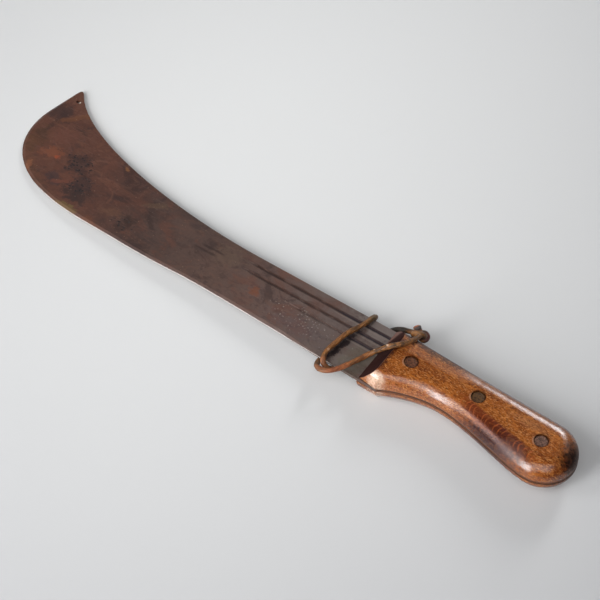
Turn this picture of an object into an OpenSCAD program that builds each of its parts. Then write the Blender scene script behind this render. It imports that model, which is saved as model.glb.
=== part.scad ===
// Old farm machete: a swept steel blade with a full tang between two wooden scales,
// held by three solid rivets with burrs, and a leather thong looped twice round the blade.
// The sizes below are measured from the front of the handle, on the line of the blade's spine,
// in the middle of the blade's thickness: +X to the butt, -Y to the cutting edge.

/* [Blade] */
// Length of the blade, from the front of the handle to its foremost point
blade_l = 283; // [265:1:310]
// Thickness of the blade and its tang
blade_t = 2.2; // [2:0.1:3]
// Width of the blade where it leaves the handle
heel_w = 41.2; // [39:0.1:44]
// Width of the blade in the hollow of its cutting edge
hollow_w = 38.1; // [36:0.1:40]
// Distance from the handle to that hollow
hollow_x = 120; // [100:1:135]
// Depth of the belly below the line of the spine
belly_w = 39.1; // [37:0.1:42]
// Distance from the handle to the deepest point of the belly
belly_x = 160; // [150:1:175]
// Distance from the handle to the place where the belly turns up to the nose
turn_x = 203; // [195:1:212]
// Height of that place above the deepest point of the belly
turn_rise = 0.8; // [0.4:0.1:1.4]
// Slope of the cutting edge where it reaches the handle
heel_slope = 1.5; // [0:0.1:2.5]
// Length of the spine that runs straight
spine_l = 100; // [80:1:120]
// Slope of the spine where it reaches the tip
spine_slope = 52; // [45:1:58]
// Height of the tip's corner above the line of the spine
tip_rise = 48.6; // [44:0.1:54]
// Distance that the tip's corner stands back from the foremost point
tip_back = 7.7; // [5:0.1:10]
// Length of both edges that the rounding of the tip takes up
tip_round = 5.5; // [3:0.5:8]
// Slope of the leading edge below the tip
lead_slope = 76; // [70:1:82]
// Height of the foremost point above the line of the spine
nose_y = 12; // [6:0.5:16]

/* [Cutting edge] */
// Width of the ground bevel
grind_w = 1.8; // [1:0.1:4]
// Thickness left at the worn edge
edge_t = 0.4; // [0.2:0.1:0.8]
// Blunt length left in front of the handle
grind_stop = 3; // [1:0.5:10]

/* [Fullers] */
// Width of a groove
fuller_w = 1.9; // [1.2:0.1:2.6]
// Depth of a groove
fuller_d = 0.4; // [0.2:0.05:0.6]
// Distance from the spine to the first groove
fuller_y = 6.3; // [5:0.1:8]
// Distance between one groove and the next
fuller_pitch = 6.4; // [4:0.1:7]
// Length of the first two grooves in front of the handle
fuller_l = 106; // [60:1:130]
// Length of the third groove in front of the handle
fuller_short_l = 68; // [40:1:100]
// Length over which a groove runs out to nothing
fuller_runout = 14; // [6:1:20]
// Length of a groove that is hidden under the scales
fuller_tuck = 6; // [3:0.5:10]

/* [Hanging hole] */
// Diameter of the hole near the tip
hang_d = 2.5; // [2:0.1:4]
// Distance of the hole behind the tip's corner
hang_back = 3.8; // [3.5:0.1:6]
// Distance of the hole below the tip's corner
hang_drop = 10.7; // [10:0.1:14]

/* [Handle] */
// Length of the handle
handle_l = 134.7; // [128:0.1:142]
// Thickness of one wooden scale
scale_t = 9.6; // [9:0.1:12]
// Radius of the round butt, seen from above
butt_r = 20; // [18.5:0.1:21.5]
// Depth of the butt's top below the line of the spine
butt_drop = 3.8; // [1:0.1:6]
// Width of the upper scale at its front, less than that of the blade
front_w = 39.8; // [39:0.1:41]
// Width of the lower scale at its front, a little more than that of the blade
lower_front_w = 41.6; // [40.8:0.1:42.2]
// Width of the handle at its guard, the corner in front of the finger curve
guard_w = 41.8; // [40:0.1:43]
// Distance from the front of the handle to the guard
guard_l = 13; // [10:0.5:16]
// Share of the rounding's width that the front end and the guard have
guard_round = 0.7; // [0.5:0.05:1]
// Slope at which the finger curve leaves the guard
finger_slope = 34; // [20:1:45]
// Width of the grip at its narrowest
grip_w = 31.6; // [29:0.1:34]
// Distance from the front to the narrowest place
grip_x = 48; // [42:1:55]
// Width of the rounding along the outer edges of the upper scale
round_w = 10.4; // [6:0.1:11.5]
// Width of the rounding along the outer edges of the lower scale
lower_round_w = 12.4; // [6:0.1:12.8]
// Height of the straight wall beside the tang, below the rounding
wall_h = 0.8; // [0.6:0.1:4]
// Length of the slope at the front end of the upper scale
front_run = 8.5; // [5:0.1:11]
// Length of the slope at the front end of the lower scale
lower_front_run = 2; // [1:0.5:8]
// Distance by which the lower scale stands out in front of the upper one
lower_reach = 0.5; // [0:0.1:1]
// Width of the worn corner along the seam
seam_ease = 0.4; // [0.2:0.1:0.8]
// Depth of the tang below the wood along the finger side and the butt
tang_in = 0.3; // [0.1:0.1:0.8]

/* [Rivets] */
// Distance from the front of the handle to the first rivet
rivet_x = 22.4; // [18:0.1:26]
// Distance between one rivet and the next
rivet_pitch = 44.8; // [38:0.1:45.5]
// Distance of the front rivet from the line of the spine
rivet_front_y = 19.2; // [17:0.1:21]
// Distance of the middle rivet from the line of the spine
rivet_middle_y = 17.9; // [14:0.1:19]
// Distance of the rear rivet from the line of the spine
rivet_rear_y = 23.2; // [20:0.1:26]
// Diameter of a shank
shank_d = 4.8; // [4:0.1:5.5]
// Diameter of a head
head_d = 8; // [7:0.1:9.5]
// Thickness of a head
head_t = 2; // [1.2:0.1:3]
// Diameter of a burr, the washer under the riveted end
burr_d = 8; // [7.5:0.1:9.5]
// Thickness of a burr
burr_t = 1.2; // [0.8:0.1:2]
// Diameter of the riveted end
peen_d = 6.6; // [6:0.1:7]
// Height of the riveted end above its burr
peen_h = 0.9; // [0.5:0.1:1.5]
// Depth of the heads and riveted ends below the wood
rivet_sink = 0.4; // [0.1:0.1:1]

/* [Thong] */
// Diameter of the leather thong
lace_d = 3.2; // [2.6:0.1:3.4]
// Width of its flattened cut end
stub_d = 4.1; // [3:0.1:4.6]

/* [Hidden] */
$fn = 48;

// Clearances
shank_gap = 0.1;
burr_gap = 0.05;
sink_gap = 0.25;

// Reach of a cutting shape past the surface that it cuts
over = 1;

// Pulls of the outline's curves along their tangents
sweep_pull = 65;
tip_pull = 37;
lead_pull = 10;
nose_pull = 10;
belly_pull = 27.5;
turn_pull = 60;
low_pull = 15;
hollow_pull = 20;
heel_pull = 60;
finger_pull = 9;
grip_pull = 11;
swell_pull = 23;
butt_pull = 15;

// Share of the tip's corner that its rounding fills
tip_fill = 0.75;

steel = [0.34, 0.28, 0.26];
wood = [0.60, 0.33, 0.13];
rivet_metal = [0.40, 0.30, 0.20];
leather = [0.52, 0.33, 0.18];

// Points along a cubic curve with end points p[0] and p[3]
function curve(p, n) = [
    for (i = [0:n])
        let (t = i / n, s = 1 - t)
            s * s * s * p[0] + 3 * s * s * t * p[1] + 3 * s * t * t * p[2] + t * t * t * p[3]
];

function tail(list) = [for (i = [1:len(list) - 1]) list[i]];
function unit(v) = v / norm(v);
function along(p) = [
    for (i = [0:len(p) - 1]) unit(p[min(i + 1, len(p) - 1)] - p[max(i - 1, 0)])
];

// Outline of the blade, from the straight spine round the tip to the heel
tip = [-(blade_l - tip_back), tip_rise];
nose = [-blade_l, nose_y];
spine_way = [cos(spine_slope), -sin(spine_slope)];
lead_way = [-cos(lead_slope), -sin(lead_slope)];
spine_end = tip + tip_round * spine_way;
lead_start = tip + tip_round * lead_way;
belly_turn = [-turn_x, -belly_w + turn_rise];
belly_low = [-belly_x, -belly_w];
hollow = [-hollow_x, -hollow_w];
heel = [0, -heel_w];
heel_way = [cos(heel_slope), -sin(heel_slope)];
guard = [guard_l, -guard_w];

spine_curve = curve([
    [-spine_l, 0],
    [-spine_l - sweep_pull, 0],
    spine_end + tip_pull * spine_way,
    spine_end
], 22);
tip_curve = curve([
    spine_end,
    spine_end + (tip - spine_end) * tip_fill,
    lead_start + (tip - lead_start) * tip_fill,
    lead_start
], 8);
lead_curve = curve([
    lead_start,
    lead_start + lead_pull * lead_way,
    nose + [0, nose_pull],
    nose
], 8);
belly_curve = curve([
    nose,
    nose - [0, belly_pull],
    belly_turn - [turn_pull, 0],
    belly_turn
], 20);
edge_curve = concat(
    curve([belly_turn, belly_turn + [low_pull, 0], belly_low - [low_pull, 0], belly_low], 4),
    tail(curve([belly_low, belly_low + [low_pull, 0], hollow - [low_pull, 0], hollow], 5)),
    tail(curve([hollow, hollow + [hollow_pull, 0], heel - heel_pull * heel_way, heel], 6))
);
cutting_edge = concat(lead_curve, tail(belly_curve), tail(edge_curve));

// Outline of the handle from its lower front corner round the butt to its spine side.
// Each entry is a point and the way that leads from it into the handle.
butt_x = handle_l - butt_r;
butt_y = -(butt_drop + butt_r);
butt_low = butt_y - butt_r;
finger_steps = 10;
finger_way = [cos(finger_slope), sin(finger_slope)];
finger_curve = curve([
    guard,
    guard + finger_pull * finger_way,
    [grip_x - grip_pull, -grip_w],
    [grip_x, -grip_w]
], finger_steps);
swell_curve = curve([
    [grip_x, -grip_w],
    [grip_x + swell_pull, -grip_w],
    [butt_x - butt_pull, butt_low],
    [butt_x, butt_low]
], 12);
butt_step = 10;
handle_rim = concat(
    [
        for (i = [0:finger_steps])
            [finger_curve[i], [0, guard_round + (1 - guard_round) * i / finger_steps]]
    ],
    [for (p = tail(swell_curve)) [p, [0, 1]]],
    [
        for (a = [butt_step - 90:butt_step:90])
            [[butt_x, butt_y] + butt_r * [cos(a), sin(a)], -[cos(a), sin(a)]]
    ]
);

// The spine side has a point across from each point of the lower edge, with the same share
lower_rim = [for (r = handle_rim) if (r[1][0] == 0 && r[0][1] < butt_y) r];
spine_rim = [for (i = [len(lower_rim) - 2:-1:0]) [lower_rim[i][0][0], lower_rim[i][1][1]]];
function spine_side(x) = -butt_drop * x / butt_x;

// The rim of a scale, drawn in by d all round, at height z. Its front end, which is cut off
// afterwards, is at x and has the width w.
function scale_ring(d, x, z, w) = concat(
    [[x, -w + guard_round * d, z]],
    [for (r = handle_rim) let (p = r[0] + d * r[1]) [p[0], p[1], z]],
    [for (s = spine_rim) [s[0], spine_side(s[0]) - s[1] * d, z]],
    [[x, spine_side(x) - guard_round * d, z]]
);

// The tang ends below the wood on the finger side and round the butt, and is flush at the spine.
// In front of the finger curve it stands out from the wood, since the blade is wider.
tang_rim = [for (r = handle_rim) r[0] + tang_in * (1 + r[1][1]) / 2 * r[1]];
blade_outline = concat(
    [[0, 0]],
    spine_curve,
    tail(tip_curve),
    tail(cutting_edge),
    tang_rim
);

// Place of the whole machete: the middle of its length and width, its lower face at z = 0
reach_y = [for (p = concat(blade_outline, [for (r = handle_rim) r[0]])) p[1]];
mid_x = (handle_l - blade_l) / 2;
mid_y = (max(reach_y) + min(reach_y)) / 2;
lower_z = -(blade_t / 2 + scale_t);

module in_place() translate([-mid_x, -mid_y, -lower_z]) children();

// A closed solid through rings of points that run anticlockwise seen from its far end.
// Each end is closed by a strip that pairs the ring's first point with its last and so on.
module skin(rings) {
    n = len(rings[0]);
    last = (len(rings) - 1) * n;
    sides = [
        for (i = [0:len(rings) - 2], k = [0:n - 1])
            let (a = i * n + k, b = i * n + (k + 1) % n)
                each [[a, b + n, b], [a, a + n, b + n]]
    ];
    strip = [
        for (k = [0:ceil(n / 2) - 2])
            let (m = n - 1 - k)
                each concat([[k, k + 1, m]], k + 1 < m - 1 ? [[k + 1, m - 1, m]] : [])
    ];
    far_end = [for (t = strip) [last + t[2], last + t[1], last + t[0]]];
    polyhedron([for (ring = rings) each ring], concat(sides, strip, far_end), convexity = 6);
}

// Cutter for the bevel on the upper side of the cutting edge. It is lifted clear at both ends.
grind_rise = (blade_t - edge_t) / 2;
grind_slope = grind_rise / grind_w;
grind_line = [for (p = cutting_edge) if (p[0] < -grind_stop) p];

module grind() {
    way = along(grind_line);
    last = len(grind_line) - 1;
    fade_steps = 4;
    reach = (grind_rise + over) / grind_slope;
    skin([
        for (i = [0:last])
            let (
                out = [way[i][1], -way[i][0]],
                fade = max(0, 1 - i / fade_steps, i - last + 1),
                z = edge_t / 2 + fade * grind_rise,
                inner = grind_line[i] - reach * out,
                outer = grind_line[i] + over * out
            )
                [
                    [inner[0], inner[1], z + grind_rise + over],
                    [outer[0], outer[1], z + grind_rise + over],
                    [outer[0], outer[1], z - over * grind_slope]
                ]
    ]);
}

// Cutter for one groove, a shallow round channel that rises out of the blade at its far end
fuller_r = (fuller_w * fuller_w / 4 + fuller_d * fuller_d) / (2 * fuller_d);
fuller_margin = 12;
fuller_half = asin(fuller_w / 2 / fuller_r) + fuller_margin;
fuller_steps = 4;

module fuller(length, y) {
    floor_z = blade_t / 2 - fuller_d;
    rise = [for (s = [1.25:-0.25:0]) [(1 - s) * fuller_runout - length, s * s * fuller_d]];
    skin([
        for (s = concat(rise, [[fuller_tuck, 0]]))
            [
                for (i = [-fuller_steps:fuller_steps])
                    let (a = fuller_half * i / fuller_steps)
                        [
                            s[0],
                            y + fuller_r * sin(a),
                            floor_z + s[1] + fuller_r * (1 - cos(a))
                        ]
            ]
    ]);
}

module both_sides() {
    children();
    mirror([0, 0, 1]) children();
}

rivet_xs = [for (i = [0:2]) rivet_x + i * rivet_pitch];
rivet_ys = [-rivet_front_y, -rivet_middle_y, -rivet_rear_y];

module rivet_holes(d, z, h) {
    for (i = [0:2])
        translate([rivet_xs[i], rivet_ys[i], z]) cylinder(h = h, d = d);
}

module blade() {
    color(steel) in_place() difference() {
        linear_extrude(height = blade_t, center = true) polygon(blade_outline);
        both_sides() grind();
        both_sides() fuller(fuller_l, -fuller_y);
        both_sides() fuller(fuller_l, -fuller_y - fuller_pitch);
        both_sides() fuller(fuller_short_l, -fuller_y - 2 * fuller_pitch);
        rivet_holes(shank_d + 2 * shank_gap, -blade_t, 2 * blade_t);
        translate([tip[0] + hang_back, tip[1] - hang_drop, -blade_t])
            cylinder(h = 2 * blade_t, d = hang_d);
    }
}

// One scale, its seam at z = 0 and its outer face at scale_t, rounded over a width of edge_w.
// Its front end has the width w and slopes back by run from a line at -reach.
// sink_depth and sink_d give the pocket that takes a rivet's head or its burr.
module scale_body(edge_w, w, run, reach, sink_depth, sink_d) {
    round_h = scale_t - wall_h;
    levels = concat(
        [[seam_ease, 0], [0, seam_ease], [0, wall_h]],
        [for (a = [15:15:90]) [edge_w * (1 - cos(a)), wall_h + round_h * sin(a)]]
    );
    lean = run / scale_t;
    difference() {
        skin([for (v = levels) scale_ring(v[0], -3 * over, v[1], w)]);
        rotate([90, 0, 0]) linear_extrude(height = 4 * heel_w, center = true) polygon([
            [-5 * over, -over],
            [-reach - over * lean, -over],
            [run - reach + over * lean, scale_t + over],
            [-5 * over, scale_t + over]
        ]);
        rivet_holes(shank_d + 2 * shank_gap, -over, scale_t + 2 * over);
        rivet_holes(sink_d + 2 * sink_gap, scale_t - sink_depth, sink_depth + over);
    }
}

module scale_top() {
    color(wood) in_place() translate([0, 0, blade_t / 2])
        scale_body(round_w, front_w, front_run, 0, rivet_sink + head_t, head_d);
}

module scale_bottom() {
    color(wood) in_place() mirror([0, 0, 1]) translate([0, 0, blade_t / 2]) scale_body(
        lower_round_w, lower_front_w, lower_front_run, lower_reach,
        rivet_sink + peen_h + burr_t, burr_d
    );
}

// One rivet, turned as a whole: a low crowned head, the shank and the riveted end
head_top = blade_t / 2 + scale_t - rivet_sink;
burr_low = -(blade_t / 2 + scale_t - rivet_sink - peen_h);

module rivet(i) {
    head_ease = 0.4;
    crown = 0.2;
    color(rivet_metal) in_place() translate([rivet_xs[i], rivet_ys[i], 0]) rotate_extrude()
        polygon(concat(
            [
                [0, head_top],
                [head_d / 4, head_top - crown / 3],
                [head_d / 2 - head_ease, head_top - crown],
                [head_d / 2, head_top - crown - head_ease],
                [head_d / 2, head_top - head_t],
                [shank_d / 2, head_top - head_t],
                [shank_d / 2, burr_low]
            ],
            [
                for (a = [0:22.5:90])
                    [peen_d / 2 * cos(a), burr_low - peen_h * sin(a)]
            ]
        ));
}

module burr(i) {
    color(rivet_metal) in_place() translate([rivet_xs[i], rivet_ys[i], burr_low]) difference() {
        cylinder(h = burr_t, d = burr_d);
        translate([0, 0, -over]) cylinder(h = burr_t + 2 * over, d = shank_d + 2 * burr_gap);
    }
}

module rivet_front() rivet(0);
module rivet_middle() rivet(1);
module rivet_rear() rivet(2);
module burr_front() burr(0);
module burr_middle() burr(1);
module burr_rear() burr(2);

// Route of the thong, from the knot down over the blade, under it and up round the spine,
// over it once more, under it and back to the knot
lace_route = [
    [15.9, -3.4, 11.3], [15.7, -6.4, 12.4], [14.4, -9.5, 12.9], [12.3, -12.6, 12.9],
    [9.9, -15.2, 12.8], [7.2, -17.4, 12.2], [4.4, -19.4, 10.4], [1.5, -21.7, 8.4],
    [-1.2, -24.4, 6.8], [-3.3, -27.9, 5.9], [-5.3, -31.9, 5.5], [-7.2, -35.8, 5.4],
    [-9.4, -40.3, 5.4], [-11.6, -44.4, 5.4], [-14.0, -47.4, 5.4], [-16.8, -49.3, 5.0],
    [-19.9, -49.6, 4.0], [-22.9, -48.5, 2.3], [-25.2, -46.2, 0.0], [-26.9, -43.0, -2.2],
    [-27.8, -39.2, -4.0], [-27.5, -34.0, -5.0], [-26.1, -27.0, -5.4], [-24.5, -20.0, -5.4],
    [-22.8, -13.0, -5.3], [-21.0, -7.0, -5.1], [-19.4, -2.6, -4.6], [-18.1, 0.5, -3.3],
    [-17.2, 2.2, -1.2], [-16.5, 2.3, 1.0], [-16.1, 0.8, 3.0], [-16.3, -2.3, 4.4],
    [-16.6, -5.5, 4.8], [-17.6, -8.9, 4.9], [-19.0, -12.8, 4.9], [-20.6, -16.8, 5.0],
    [-22.0, -20.9, 5.0], [-22.8, -25.1, 5.0], [-23.4, -29.6, 5.0], [-24.1, -33.7, 5.0],
    [-24.3, -38.4, 4.9], [-23.7, -41.6, 4.4], [-22.5, -43.8, 3.3], [-20.8, -44.3, 1.4],
    [-19.1, -43.5, -0.8], [-17.7, -41.0, -3.0], [-16.3, -37.0, -4.4], [-15.0, -31.0, -5.2],
    [-13.6, -24.0, -5.4], [-12.2, -17.0, -5.4], [-10.7, -10.0, -5.3], [-9.2, -4.5, -5.2],
    [-7.2, -0.4, -4.8], [-4.6, 2.6, -3.6], [-1.6, 4.2, -2.0], [1.8, 4.7, -0.4],
    [5.2, 4.6, 1.2], [8.4, 4.3, 2.8]
];
lace_sides = 8;

// Directions across a route that turn with it as little as they can
function across(way, v, i = 0) =
    i == len(way) ? [] : let (w = unit(v - (v * way[i]) * way[i])) concat([w], across(way, w, i + 1));

module tube(route, d) {
    way = along(route);
    side = across(way, abs(way[0][2]) < 0.9 ? [0, 0, 1] : [1, 0, 0]);
    skin([
        for (i = [0:len(route) - 1])
            [
                for (k = [0:lace_sides - 1])
                    let (a = 360 * (k + 0.5) / lace_sides)
                        route[i] + d / 2 * (cos(a) * side[i] + sin(a) * cross(way[i], side[i]))
            ]
    ]);
}

module lace() {
    color(leather) in_place() tube(lace_route, lace_d);
}

// The knot: one end of the thong comes down behind it, the other makes a loop beside it,
// a turn goes over both and the cut end stands up out of that turn
lace_last = len(lace_route) - 1;
knot_down = [
    lace_route[0], 2 * lace_route[0] - lace_route[1], [15.4, 1.6, 8.2], [14.2, 3.6, 5.4]
];
knot_loop = [
    lace_route[lace_last], 2 * lace_route[lace_last] - lace_route[lace_last - 1],
    [13.8, 5.4, 5.2], [15.8, 6.4, 5.0], [17.5, 6.1, 4.0], [18.0, 4.9, 2.9],
    [17.4, 3.5, 2.4], [16.0, 2.9, 2.6], [14.2, 3.0, 3.6]
];
knot_turn = [
    [12.0, 1.4, 4.6], [11.2, 0.6, 6.6], [11.9, 0.0, 9.0], [14.0, 0.2, 10.6],
    [16.0, 1.1, 10.6], [17.3, 2.5, 8.8], [17.2, 3.3, 6.4], [16.0, 3.3, 4.6]
];
knot_stub = [[12.6, 3.8, 4.8], [12.0, 4.0, 7.3], [11.4, 4.4, 10.0]];

module lace_knot() {
    color(leather) in_place() {
        tube(knot_down, lace_d);
        tube(knot_loop, lace_d);
        tube(knot_turn, lace_d);
        tube(knot_stub, stub_d);
    }
}

// Least gap of the thong to itself, between points that are more than four steps apart
lace_gap = min([
    for (i = [0:lace_last], j = [i + 5:1:lace_last])
        norm(lace_route[i] - lace_route[j]) - lace_d
]);
lace_steps = [for (i = [1:lace_last]) norm(lace_route[i] - lace_route[i - 1])];
echo(length_of_the_thong = lace_steps * [for (step = lace_steps) 1]);
echo(least_gap_of_the_thong_to_itself = lace_gap);

blade();
scale_top();
scale_bottom();
rivet_front();
rivet_middle();
rivet_rear();
burr_front();
burr_middle();
burr_rear();
lace();
lace_knot();
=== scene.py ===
"""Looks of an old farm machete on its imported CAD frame: rusty steel blade, oiled wooden scales
with dark rivets, and a leather thong looped round the blade.

Sizes in the lists below are in millimetres from the front of the handle, on the line of the
blade's spine, in the middle of the blade's thickness, as in the part's source. OFFSET leads
from there to the row frame.
"""

import math

import bpy
import numpy as np
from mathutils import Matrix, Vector


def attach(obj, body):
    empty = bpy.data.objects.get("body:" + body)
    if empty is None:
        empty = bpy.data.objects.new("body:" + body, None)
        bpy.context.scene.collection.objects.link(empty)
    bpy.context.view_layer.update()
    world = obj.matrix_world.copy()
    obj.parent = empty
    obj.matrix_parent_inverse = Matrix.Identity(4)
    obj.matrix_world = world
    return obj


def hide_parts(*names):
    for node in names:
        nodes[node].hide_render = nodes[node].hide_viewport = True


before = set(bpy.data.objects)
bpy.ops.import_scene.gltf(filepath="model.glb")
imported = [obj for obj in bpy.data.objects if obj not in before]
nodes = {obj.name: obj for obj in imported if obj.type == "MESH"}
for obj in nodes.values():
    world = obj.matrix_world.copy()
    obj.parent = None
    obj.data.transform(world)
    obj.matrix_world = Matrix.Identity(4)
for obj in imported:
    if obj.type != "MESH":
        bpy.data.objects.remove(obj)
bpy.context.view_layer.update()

MM = 0.001
OFFSET = np.array([74.15, -1.3422, 10.7])


def to_row(points):
    """Points in millimetres from the front of the handle, as metres in the row frame."""
    return (np.asarray(points, float) + OFFSET) * MM


# Camera: the photograph's view of the machete
TARGET = Vector(to_row((-60.92, -12.25, 0)))
AZIMUTH, ELEVATION, DISTANCE = math.radians(35.065), math.radians(52), 1.2
SENSOR_W, LENS = 36, 120.4

camera = bpy.data.objects.new("camera", bpy.data.cameras.new("camera"))
bpy.context.scene.collection.objects.link(camera)
back = Vector(
    (
        math.sin(AZIMUTH) * math.cos(ELEVATION),
        -math.cos(AZIMUTH) * math.cos(ELEVATION),
        math.sin(ELEVATION),
    )
)
camera.location = TARGET + back * DISTANCE
camera.rotation_mode = "QUATERNION"
camera.rotation_quaternion = (-back).to_track_quat("-Z", "Y")
camera.data.sensor_width = SENSOR_W
camera.data.lens = LENS
bpy.context.scene.camera = camera


def new_object(name, points, faces, smooth=True):
    mesh = bpy.data.meshes.new(name)
    mesh.from_pydata([tuple(p) for p in points], [], [tuple(f) for f in faces])
    mesh.update()
    for face in mesh.polygons:
        face.use_smooth = smooth
    made = bpy.data.objects.new(name, mesh)
    bpy.context.scene.collection.objects.link(made)
    return made


# Thong
LACE_D, STUB_D = 3.2, 4.7
LACE_STEP, KNOT_STEP = 0.9, 0.5
LACE_SEED, KNOT_SEED = 3, 11
TUBE_SIDES, CUT_ANGLE = 20, math.radians(60)
FIRST_SIDE = (0.31, 0.22, 0.93)
# each wave in the thickness: its height as a share, radians per millimetre, turns round the lace
SWELLS = [(0.045, 0.42, 2), (0.03, 0.9, -3), (0.025, 0.23, 0)]
GRAIN_TWIST = 0.11
LACE_ROUTE = [
    (15.9, -3.4, 11.3), (15.7, -6.4, 12.4), (14.4, -9.5, 12.9), (12.3, -12.6, 12.9),
    (9.9, -15.2, 12.8), (7.2, -17.4, 12.2), (4.4, -19.4, 10.4), (1.5, -21.7, 8.4),
    (-1.2, -24.4, 6.8), (-3.3, -27.9, 5.9), (-5.3, -31.9, 5.5), (-7.2, -35.8, 5.4),
    (-9.4, -40.3, 5.4), (-11.6, -44.4, 5.4), (-14.0, -47.4, 5.4), (-16.8, -49.3, 5.0),
    (-19.9, -49.6, 4.0), (-22.9, -48.5, 2.3), (-25.2, -46.2, 0.0), (-26.9, -43.0, -2.2),
    (-27.8, -39.2, -4.0), (-27.5, -34.0, -5.0), (-26.1, -27.0, -5.4), (-24.5, -20.0, -5.4),
    (-22.8, -13.0, -5.3), (-21.0, -7.0, -5.1), (-19.4, -2.6, -4.6), (-18.1, 0.5, -3.3),
    (-17.2, 2.2, -1.2), (-16.5, 2.3, 1.0), (-16.1, 0.8, 3.0), (-16.3, -2.3, 4.4),
    (-16.6, -5.5, 4.8), (-17.6, -8.9, 4.9), (-19.0, -12.8, 4.9), (-20.6, -16.8, 5.0),
    (-22.0, -20.9, 5.0), (-22.8, -25.1, 5.0), (-23.4, -29.6, 5.0), (-24.1, -33.7, 5.0),
    (-24.3, -38.4, 4.9), (-23.7, -41.6, 4.4), (-22.5, -43.8, 3.3), (-20.8, -44.3, 1.4),
    (-19.1, -43.5, -0.8), (-17.7, -41.0, -3.0), (-16.3, -37.0, -4.4), (-15.0, -31.0, -5.2),
    (-13.6, -24.0, -5.4), (-12.2, -17.0, -5.4), (-10.7, -10.0, -5.3), (-9.2, -4.5, -5.2),
    (-7.2, -0.4, -4.8), (-4.6, 2.6, -3.6), (-1.6, 4.2, -2.0), (1.8, 4.7, -0.4),
    (5.2, 4.6, 1.2), (8.4, 4.3, 2.8),
]
KNOT_DOWN = [LACE_ROUTE[0], (16.1, -0.4, 10.2), (15.4, 1.6, 8.2), (14.2, 3.6, 5.4)]
KNOT_LOOP = [
    LACE_ROUTE[-1], (11.6, 4.0, 4.4), (13.8, 5.4, 5.2), (15.8, 6.4, 5.0), (17.5, 6.1, 4.0),
    (18.0, 4.9, 2.9), (17.4, 3.5, 2.4), (16.0, 2.9, 2.6), (14.2, 3.0, 3.6),
]
KNOT_TURN = [
    (12.0, 1.4, 4.6), (11.2, 0.6, 6.6), (11.9, 0.0, 9.0), (14.0, 0.2, 10.6),
    (16.0, 1.1, 10.6), (17.3, 2.5, 8.8), (17.2, 3.3, 6.4), (16.0, 3.3, 4.6),
]
KNOT_STUB = [(13.4, 3.4, 4.8), (12.6, 3.7, 7.5), (11.3, 4.3, 10.0)]


def smooth_route(points, step):
    """Points about step apart on a smooth curve through the given ones."""
    p = np.asarray(points, float)
    p = np.vstack([2 * p[0] - p[1], p, 2 * p[-1] - p[-2]])
    route = []
    for a, b, c, d in zip(p, p[1:], p[2:], p[3:]):
        count = max(2, round(np.linalg.norm(c - b) / step))
        for t in np.arange(count) / count:
            route.append(
                b
                + t * (c - a) / 2
                + t * t * (2 * a - 5 * b + 4 * c - d) / 2
                + t**3 * (3 * b - a - 3 * c + d) / 2
            )
    return np.array(route + [p[-2]])


def leather_tube(name, strands, seed):
    """A piece of lace along each route: a little uneven, with flat cut ends. The attribute lay
    holds each point's place on the straight lace, for a grain that runs along it."""
    chance = np.random.default_rng(seed)
    points, faces, lays = [], [], []
    for route, d in strands:
        way = np.gradient(route, axis=0)
        way /= np.linalg.norm(way, axis=1)[:, None]
        side = np.cross(way[0], FIRST_SIDE)
        *waves, grain_start = chance.uniform(0, 2 * math.pi, 4)
        first, length = len(points), 0
        for i, (centre, w) in enumerate(zip(route, way)):
            side = side - side.dot(w) * w
            side /= np.linalg.norm(side)
            other = np.cross(w, side)
            length += np.linalg.norm(centre - route[max(i - 1, 0)])
            for k in range(TUBE_SIDES):
                a = 2 * math.pi * k / TUBE_SIDES
                swell = 1
                for (high, rate, turns), wave in zip(SWELLS, waves):
                    swell += high * math.sin(rate * length + wave + turns * a)
                out = math.cos(a) * side + math.sin(a) * other
                points.append(centre + d / 2 * swell * out)
                turn = a + GRAIN_TWIST * length + grain_start
                lays.append((d / 2 * math.cos(turn), d / 2 * math.sin(turn), length))
        for ring in range(first, len(points) - TUBE_SIDES, TUBE_SIDES):
            for k in range(TUBE_SIDES):
                a, b = ring + k, ring + (k + 1) % TUBE_SIDES
                faces.append((a, b, b + TUBE_SIDES, a + TUBE_SIDES))
        faces.append(tuple(range(first + TUBE_SIDES - 1, first - 1, -1)))
        faces.append(tuple(range(len(points) - TUBE_SIDES, len(points))))
    made = new_object(name, to_row(points), faces)
    made.data.attributes.new("lay", "FLOAT_VECTOR", "POINT")
    made.data.attributes["lay"].data.foreach_set("vector", np.ravel(lays))
    made.data.set_sharp_from_angle(angle=CUT_ANGLE)
    return made


lace_line = smooth_route(LACE_ROUTE, LACE_STEP)
lace = leather_tube("thong", [(lace_line, LACE_D)], LACE_SEED)
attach(lace, "root")
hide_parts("lace")

knot_parts = [(KNOT_DOWN, LACE_D), (KNOT_LOOP, LACE_D), (KNOT_TURN, LACE_D), (KNOT_STUB, STUB_D)]
knot_strands = [(smooth_route(route, KNOT_STEP), d) for route, d in knot_parts]
knot = leather_tube("thong_knot", knot_strands, KNOT_SEED)
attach(knot, "root")
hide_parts("lace_knot")

# Scales
HANDLE_L, BUTT_R, BUTT_DROP = 134.7, 20, 3.8
GUARD_W, GUARD_L, GUARD_ROUND = 41.8, 13, 0.7
FINGER_SLOPE, GRIP_W, GRIP_X = math.radians(34), 31.6, 48
# how far the curves of the lower side keep their way at the guard, the grip and the butt
GUARD_PULL, FINGER_PULL, GRIP_PULL, BUTT_PULL = 9, 11, 23, 15
FINGER_STEPS, SWELL_STEPS, BUTT_STEP, EDGE_STEP = 34, 44, 3, 5
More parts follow.
